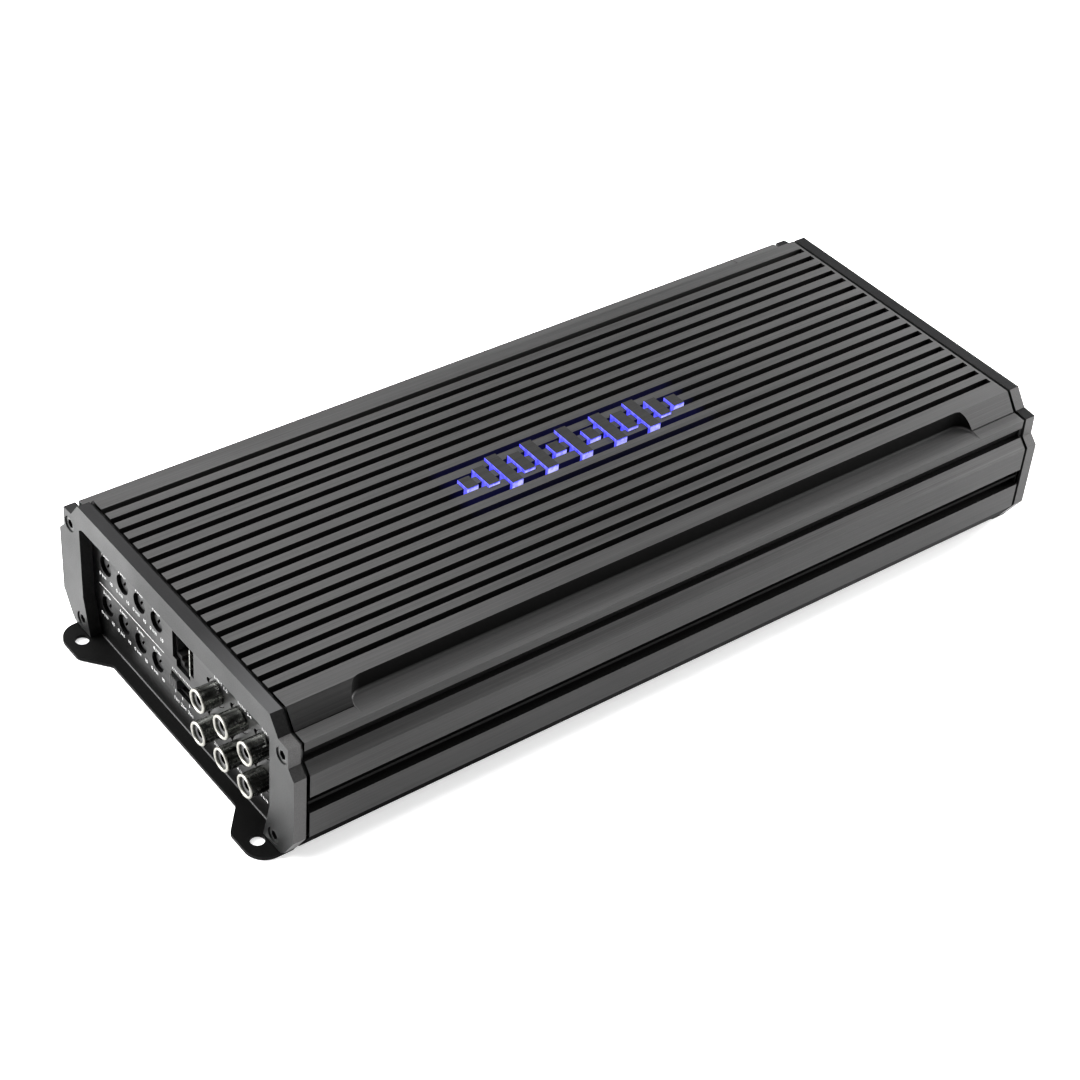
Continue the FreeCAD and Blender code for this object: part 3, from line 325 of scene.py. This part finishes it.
def leak_glow(graph):
    """A painted faint blue glow in the grooves round the lit badge, standing in for its spilled
    light.
    """
    low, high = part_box("badge_light_guide")
    mask = None
    for axis, spill, fade in ((0, -0.002, 0.005), (1, -0.004, 0.006)):
        centre, half = (low[axis] + high[axis]) / 2, (high[axis] - low[axis]) / 2
        away = graph.math("ABSOLUTE", graph.math("SUBTRACT", graph.axis("XYZ"[axis]), centre), 0.0)
        near = graph.ramp(away, 1.0, 0.0, half + spill, half + spill + fade)
        mask = near if mask is None else graph.math("MULTIPLY", mask, near)
    graph.feed(graph.mix(mask, (0.0, 0.0, 0.0), (0.002, 0.002, 0.022)), "Emission Color")
    graph.set("Emission Strength", 1.0)


leak_glow(painted_shade_and_glow)

CAD_MATERIALS = {
    "heatsink_body": brushed_dark, "input_end_frame": frame_coat, "output_end_frame": frame_coat,
    "input_panel": panel_metal, "output_panel": panel_metal, "bottom_plate": plate_coat,
    "end_frame_screws": screw_black, "bottom_plate_screws": screw_black,
    "badge_light_guide": lit_blue, "badge_caps": cap_dark, "badge_led_board": board_green,
    "rca_housings": plastic_black, "rca_shells": jack_dark, "rca_insulators": plastic_grey,
    "rca_contacts": bore_shade, "trim_pot_bodies": reveal_shade, "remote_jack": plastic_black,
    "remote_jack_contacts": brass, "mode_switch_body": plastic_black,
    "mode_switch_slider": plastic_black, "power_terminal_housing": plastic_black,
    "power_terminal_tabs": tin, "speaker_terminal_housing": plastic_black,
    "speaker_terminal_tabs": tin, "fuse_holder": plastic_black, "status_leds": lens,
    "main_board": board_green, "board_standoffs": brass, "board_screws": zinc,
    "input_board": board_green, "transformer_core": ferrite, "transformer_winding": copper,
    "output_inductors": copper, "filter_capacitors": sleeve, "power_transistors": plastic_black,
    "clamp_bars": zinc, "clamp_screws": zinc,
}
FAMILY_MATERIALS = {"trim_pot_rotor": dial_grey, "power_terminal_screw": zinc,
                    "speaker_terminal_screw": zinc, "fuse": fuse_body}


def material_of(name):
    if name in CAD_MATERIALS:
        return CAD_MATERIALS[name]
    return FAMILY_MATERIALS[name.rsplit("_", 1)[0]]


for name, item in NODES.items():
    item.data.materials.clear()
    item.data.materials.append(material_of(name).material)


# ------------------------------------------------------------------ heat sink finish, painted light and shade by face

def add_finishes(mesh, *finishes):
    """Appends finishes to a mesh and returns each one's index."""
    for finish in finishes:
        mesh.materials.append(finish.material)
    return range(len(mesh.materials) - len(finishes), len(mesh.materials))


def finish_heatsink():
    """Grooves, slots and the inside are black as painted shade, the recess is painted shade that
    fades, and the outer bands get darker and lighter copies of the brushed finish as painted shade
    and light.
    """
    mesh = NODES["heatsink_body"].data
    groove, scoop, chamfer, ledge, rib, flank, slant = add_finishes(
        mesh, painted_shade_and_glow, recess, chamfer_dark, ledge_shaded_copy, rib_shade, side_shaded_copy,
        slant_lit_copy)
    for face in mesh.polygons:
        x, y, z = (value / MM for value in face.center)
        normal = face.normal
        side = abs(y)
        in_groove = z > 50.5 and side < 52.5 and (normal.z < 0.5 or z < 55.5)
        in_upper_slot = (41.5 < z < 45.9 and 67.0 < side < 69.4
                         and (side < 67.4 or abs(normal.z) > 0.5))
        in_lower_slot = (22.2 < z < 29.1
                         and (69.0 < side < 71.2 or (69.0 < side < 72.3 and abs(normal.y) < 0.5)))
        inside = side < 66.5 and z < 46.5
        in_recess = (abs(x) < 133.2 and 58.0 < side < 69.0 and 49.2 < z < 55.95
                     and (normal.z < 0.97 or z > 49.3))
        if in_groove or in_upper_slot or in_lower_slot or inside:
            face.material_index = groove
        elif in_recess:
            face.material_index = scoop
        elif z < 12.1 and y < -64.0 and abs(normal.x) < 0.5:
            face.material_index = chamfer
        elif 48.9 < z < 49.7 and 58.0 < side < 69.0 and normal.z > 0.9:
            face.material_index = ledge
        elif side > 68.8 and abs(normal.y) > 0.95:
            face.material_index = flank
        elif side > 69.0 and 38.0 < z < 41.8 and normal.z > 0.3:
            face.material_index = slant
        if 25.0 < z < 26.2 and 71.0 < side < 71.2 and abs(normal.y) > 0.5:
            face.material_index = rib


def finish_panel(name):
    """The flange, its tabs and the openings' edges are black; the bend carries a painted highlight;
    the upright face is brushed.
    """
    mesh = NODES[name].data
    painted, bend = add_finishes(mesh, flange_black, bend_highlight)
    for face in mesh.polygons:
        out, z = abs(face.center.x) / MM, face.center.z / MM
        sloping = abs(face.normal.x) > 0.25 and face.normal.z > 0.25
        in_opening = abs(face.normal.x) < 0.5 and abs(face.center.y) < 0.058
        if 155.4 < out < 158.5 and 1.2 < z < 4.0 and sloping:
            face.material_index = bend
        elif out > 155.8 or z < 2.4 or in_opening:
            face.material_index = painted


def finish_frame(name):
    """The frame's front is satin; its top gets a darker copy as painted shade, its slants and
    opening are near-black painted shade, and its outer edge gets a lighter, smoother copy as
    painted light.
    """
    mesh = NODES[name].data
    far = name == "output_end_frame"
    rim, reveal, edge = add_finishes(
        mesh, far_rim if far else frame_rim, reveal_shade, frame_edge)
    for face in mesh.polygons:
        side, z = abs(face.center.y) / MM, face.center.z / MM
        if abs(face.normal.x) > 0.5:
            continue
        near_side = face.center.y < 0
        if face.normal.z > 0.7 and (z > 50 or (z > 48 and (far or not near_side))):
            face.material_index = rim
        elif (z > 50 and not (far and near_side)) or (side < 58.8 and 2 < z < 47.5):
            face.material_index = reveal
        elif side > 68.9 or z > 49 or (side > 66.5 and z < 12.5):
            face.material_index = edge


def finish_screws():
    """The frame screws' sockets, cones and shanks are in shadow; only the head's face shows."""
    mesh = NODES["end_frame_screws"].data
    shadow, = add_finishes(mesh, painted_shade_and_glow)
    for face in mesh.polygons:
        if abs(face.normal.x) < 0.9 or abs(face.center.x) < 0.159:
            face.material_index = shadow


def finish_dials():
    """Each dial shows a grey face; its rim and slot are black as painted shade."""
    for name in DIALS:
        mesh = NODES[name].data
        shadow, = add_finishes(mesh, painted_shade_and_glow)
        front = min(face.center.x for face in mesh.polygons)
        for face in mesh.polygons:
            if face.normal.x > -0.9 or face.center.x > front + 0.2 * MM:
                face.material_index = shadow


def finish_jacks():
    """Contacts and insulators are plain at the mouth and black down the bore as painted shade."""
    for name in ("rca_contacts", "rca_insulators"):
        mesh = NODES[name].data
        shadow, = add_finishes(mesh, painted_shade_and_glow)
        for face in mesh.polygons:
            if face.normal.x > -0.9:
                face.material_index = shadow


def finish_badge():
    """The light guide is palest at its -Y ends as a painted highlight, and the caps' edges carry a
    painted blue glow.
    """
    guide = NODES["badge_light_guide"].data
    pale, = add_finishes(guide, lit_pale)
    for face in guide.polygons:
        if face.normal.y < -0.7:
            face.material_index = pale
    caps = NODES["badge_caps"].data
    glowing, = add_finishes(caps, cap_painted_glow)
    for face in caps.polygons:
        if abs(face.normal.z) < 0.5:
            face.material_index = glowing


finish_screws()
finish_dials()
finish_jacks()
finish_badge()
finish_heatsink()
for name in ("input_end_frame", "output_end_frame"):
    finish_frame(name)
for name in ("input_panel", "output_panel"):
    finish_panel(name)


# ------------------------------------------------------------------ edges

def soften(name, width, segments=2):
    """Welds a CAD node's split vertices and rounds its sharp edges slightly."""
    item = NODES[name]
    weld = item.modifiers.new("weld", "WELD")
    weld.merge_threshold = 0.000002
    bevel = item.modifiers.new("edges", "BEVEL")
    bevel.width = width * MM
    bevel.segments = segments
    bevel.limit_method = "ANGLE"
    bevel.angle_limit = math.radians(32)
    bevel.harden_normals = True
    bevel.use_clamp_overlap = True
    flat = item.modifiers.new("flat_faces", "WEIGHTED_NORMAL")
    flat.weight = 100
    flat.keep_sharp = True


SOFT_EDGES = {"heatsink_body": 0.15, "input_end_frame": 0.3, "output_end_frame": 0.3,
              "input_panel": 0.12, "output_panel": 0.12}
for name, width in SOFT_EDGES.items():
    soften(name, width)
for name in DIALS:
    soften(name, 0.2)


# ------------------------------------------------------------------ printed marks and trim

def as_piece(name, mesh, finish):
    """A visual piece that belongs to the amplifier's own body."""
    item = bpy.data.objects.new(name, mesh)
    bpy.context.scene.collection.objects.link(item)
    mesh.materials.clear()
    mesh.materials.append(finish.material)
    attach(item, "amplifier")
    return item


def text_mesh(words, height):
    """Flat letter shapes of a given height in millimetres, centred on the origin."""
    curve = bpy.data.curves.new("words", "FONT")
    curve.body = words
    curve.size = height * 1.42 * MM
    curve.align_x = "CENTER"
    curve.align_y = "CENTER"
    curve.resolution_u = 3
    item = bpy.data.objects.new("words", curve)
    bpy.context.scene.collection.objects.link(item)
    bpy.context.view_layer.update()
    shown = item.evaluated_get(bpy.context.evaluated_depsgraph_get())
    mesh = bpy.data.meshes.new_from_object(shown)
    bpy.data.objects.remove(item)
    bpy.data.curves.remove(curve)
    return mesh


class Print:
    """White marks printed on one end panel, gathered in one mesh."""

    def __init__(self, end):
        self.build = bmesh.new()
        self.end = end
        self.level = end * PRINT_LEVEL * MM
        self.turn = Matrix(((0, 0, end, self.level), (end, 0, 0, 0), (0, 1, 0, 0), (0, 0, 0, 1)))

    def words(self, text, y, z, height=1.7):
        mesh = text_mesh(text, height)
        mesh.transform(self.turn @ Matrix.Translation((self.end * y * MM, z * MM, 0)))
        self.build.from_mesh(mesh)
        bpy.data.meshes.remove(mesh)

    def bar(self, y0, z0, y1, z1, width=0.3):
        """A straight stroke between two points of the panel."""
        start, stop = Vector((y0, z0)), Vector((y1, z1))
        across = (stop - start).normalized().orthogonal() * (width / 2)
        corners = [start + across, start - across, stop - across, stop + across]
        self.build.faces.new([self.build.verts.new((self.level, c.x * MM, c.y * MM))
                              for c in corners])

    def scale(self, y, z, count, step, tall=1.2):
        """A row of fine graduations, every third one shorter."""
        for index in range(count):
            half = tall * (0.3 if index % 3 == 1 else 0.5)
            across = y + self.end * step * index
            self.bar(across, z - half, across, z + half, 0.22)

    def done(self, name):
        mesh = bpy.data.meshes.new(name)
        self.build.to_mesh(mesh)
        self.build.free()
        as_piece(name, mesh, print_white)


def print_input_marks():
    sheet = Print(-1)
    for number, y in enumerate(POT_Y, start=1):
        for z, label in zip(POT_Z, (number, number + 4)):
            top = z + 4.3 if z > 30 else z + 4.7
            sheet.words(str(label), y + 2.0, top, 1.3)
            sheet.scale(y + 0.8, top, 5, 0.75)
            sheet.words("0", y + 3.9, z - 5.4, 1.4)
            sheet.scale(y + 2.4, z - 5.4, 4, 0.7)
            sheet.words("10", y - 3.2, z - 5.4, 1.4)
    sheet.bar(54.5, 24.6, 12.5, 24.6, 0.2)
    for label, y in (("1", 5.5), ("2", 1.1), ("3", -3.3)):
        sheet.bar(y, 13.9, y, 12.6, 0.28)
        sheet.words(label, y + 0.6, 10.0, 1.5)
        sheet.scale(y - 0.5, 10.0, 3, 0.7)
    sheet.scale(7.0, 22.2, 15, 0.85, 0.9)
    for number, y in enumerate(JACK_Y):
        low, high = 2 * number + 1, 2 * number + 2
        sheet.words("%d-%d" % (low, high), y - 5.2, 38.0, 1.4)
        sheet.scale(y + 1.2, 38.5, 6, 0.8)
        sheet.words(str(low), y + 5.9, 25.6, 1.3)
        sheet.scale(y + 5.0, 25.6, 2, 0.7)
        sheet.words(str(high), y + 1.8, 9.4, 1.3)
        sheet.scale(y + 0.6, 9.4, 4, 0.8)
    sheet.done("input_marks")


def print_output_marks():
    sheet = Print(1)
    for number in range(3):
        y = POWER_Y + POWER_PITCH * (number - 1)
        sheet.words(("+", "0", "-")[number], y, 5.4, 2.2)
    for number in range(10):
        y = SPEAKER_Y + SPEAKER_PITCH * (number - 4.5)
        sheet.words(("+", "-")[number % 2], y, 26.2, 1.7)
        if number % 2 == 0:
            sheet.bar(y - 1.2, 28.2, y + 7.4, 28.2, 0.25)
            sheet.words(str(number // 2 + 1), y + 3.1, 30.0, 1.7)
    sheet.words("1", -12.0, 40.6, 1.5)
    sheet.words("2", -20.0, 40.6, 1.5)
    sheet.done("output_marks")


def turned_ring(build, x, y, z, profile, steps=40):
    """Sweeps a profile of (x, radius) points once round an X axis through y, z."""
    rings = []
    for step in range(steps):
        angle = 2 * math.pi * step / steps
        across, height = math.cos(angle), math.sin(angle)
        rings.append([build.verts.new(((x + dx) * MM, (y + radius * across) * MM,
                                       (z + radius * height) * MM))
                      for dx, radius in profile])
    count = len(profile)
    for step in range(steps):
        first, second = rings[step], rings[(step + 1) % steps]
        for index in range(count):
            after = (index + 1) % count
            build.faces.new((first[index], first[after], second[after], second[index]))


def add_jack_lips():
    """The rolled bright lip at the mouth of each signal jack."""
    build = bmesh.new()
    profile = [(0.52 * math.cos(a) + 0.12, 3.74 + 0.52 * math.sin(a))
               for a in (2 * math.pi * step / 12 for step in range(12))]
    for y in JACK_Y:
        for z in JACK_Z:
            turned_ring(build, JACK_MOUTH_X, y, z, profile)
    mesh = bpy.data.meshes.new("jack_lips")
    bmesh.ops.recalc_face_normals(build, faces=build.faces)
    build.to_mesh(mesh)
    build.free()
    for face in mesh.polygons:
        face.use_smooth = True
    as_piece("jack_lips", mesh, lip_bright)


def add_socket_shield():
    """A folded metal strip that stands on the remote socket's face, near its -Y side."""
    build = bmesh.new()
    outline = [(-155.3, -3.35), (-155.3, -3.85), (-154.1, -3.85), (-154.1, -3.65),
               (-155.05, -3.65), (-155.05, -3.35)]
    bottom, top = [[build.verts.new((x * MM, y * MM, z * MM)) for x, y in outline]
                   for z in SHIELD_Z]
    for index in range(len(outline)):
        after = (index + 1) % len(outline)
        build.faces.new((bottom[index], bottom[after], top[after], top[index]))
    build.faces.new(bottom[::-1])
    build.faces.new(top)
    bmesh.ops.recalc_face_normals(build, faces=build.faces)
    mesh = bpy.data.meshes.new("socket_shield")
    build.to_mesh(mesh)
    build.free()
    as_piece("socket_shield", mesh, jack_dark)


print_input_marks()
print_output_marks()
add_jack_lips()
add_socket_shield()


# ------------------------------------------------------------------ camera, floor and light

camera_data = bpy.data.cameras.new("camera")
camera_data.sensor_width = 36.0
camera_data.lens = 81.487
camera_data.clip_start = 0.05
camera_data.clip_end = 50.0
camera = bpy.data.objects.new("camera", camera_data)
right = Vector((0.7963, -0.6010, 0.0688))
up = Vector((0.3370, 0.5353, 0.7745))
back = right.cross(up).normalized()
up = back.cross(right).normalized()
turn = Matrix((right.normalized(), up, back)).transposed().to_4x4()
camera.matrix_world = Matrix.Translation((-0.44446, -0.51214, 0.56014)) @ turn
bpy.context.scene.collection.objects.link(camera)
bpy.context.scene.camera = camera


FLOOR_GLOW = 0.5
WORLD_STRENGTH = 0.1


def add_floor():
    mesh = bpy.data.meshes.new("floor")
    reach = 8.0
    level = -0.0002
    corners = [(-reach, -reach, level), (reach, -reach, level), (reach, reach, level),
               (-reach, reach, level)]
    mesh.from_pydata(corners, [], [(0, 1, 2, 3)])
    floor = bpy.data.objects.new("floor", mesh)
    bpy.context.scene.collection.objects.link(floor)
    graph = Graph("floor", (0.86, 0.86, 0.86), 0.8)
    grain = graph.noise((300, 300, 300), 2.0)
    graph.feed(graph.ramp(grain, (0.85, 0.85, 0.85), (0.88, 0.88, 0.88), 0.3, 0.7), "Base Color")
    graph.set("Emission Color", (1.0, 1.0, 1.0, 1.0))
    graph.set("Emission Strength", FLOOR_GLOW)
    mesh.materials.append(graph.material)


def add_light(name, place, target, width, height, power):
    data = bpy.data.lights.new(name, "AREA")
    data.shape = "RECTANGLE"
    data.size = width
    data.size_y = height
    data.energy = power
    light = bpy.data.objects.new(name, data)
    direction = Vector(target) - Vector(place)
    aim = direction.to_track_quat("-Z", "Y").to_matrix().to_4x4()
    light.matrix_world = Matrix.Translation(place) @ aim
    bpy.context.scene.collection.objects.link(light)


def add_world(strength):
    world = bpy.data.worlds.new("studio")
    world.use_nodes = True
    background = world.node_tree.nodes["Background"]
    background.inputs["Color"].default_value = (1.0, 1.0, 1.0, 1.0)
    background.inputs["Strength"].default_value = strength
    bpy.context.scene.world = world


LIGHTS = (
    ("back_left", (0.1, 1.1, 1.2), (0, 0, 0), 1.4, 0.9, 19.0),
    ("back_right", (1.15, 0.9, 0.85), (0.1, 0, 0), 0.9, 0.7, 2.5),
    ("far_left_back", (-0.75, 1.2, 1.0), (-0.1, 0, 0), 0.8, 0.8, 34.0),
    ("right_front", (1.3, -0.9, 0.55), (0.05, -0.05, 0.03), 0.9, 0.7, 11.0),
    ("right_side", (1.5, -0.1, 0.45), (0.05, 0, 0.02), 0.8, 0.5, 54.0),
    ("right_back_low", (1.4, 0.7, 0.6), (0.05, 0, 0.02), 0.8, 0.5, 9.0),
    ("left_back", (-1.3, 0.7, 0.5), (-0.15, 0, 0.03), 0.7, 0.6, 50.0),
    ("overhead", (0.0, 0.0, 1.6), (0, 0, 0), 1.2, 1.0, 19.0),
)

add_floor()
add_world(WORLD_STRENGTH)
for settings in LIGHTS:
    add_light(*settings)
bpy.context.scene.view_settings.view_transform = "Standard"
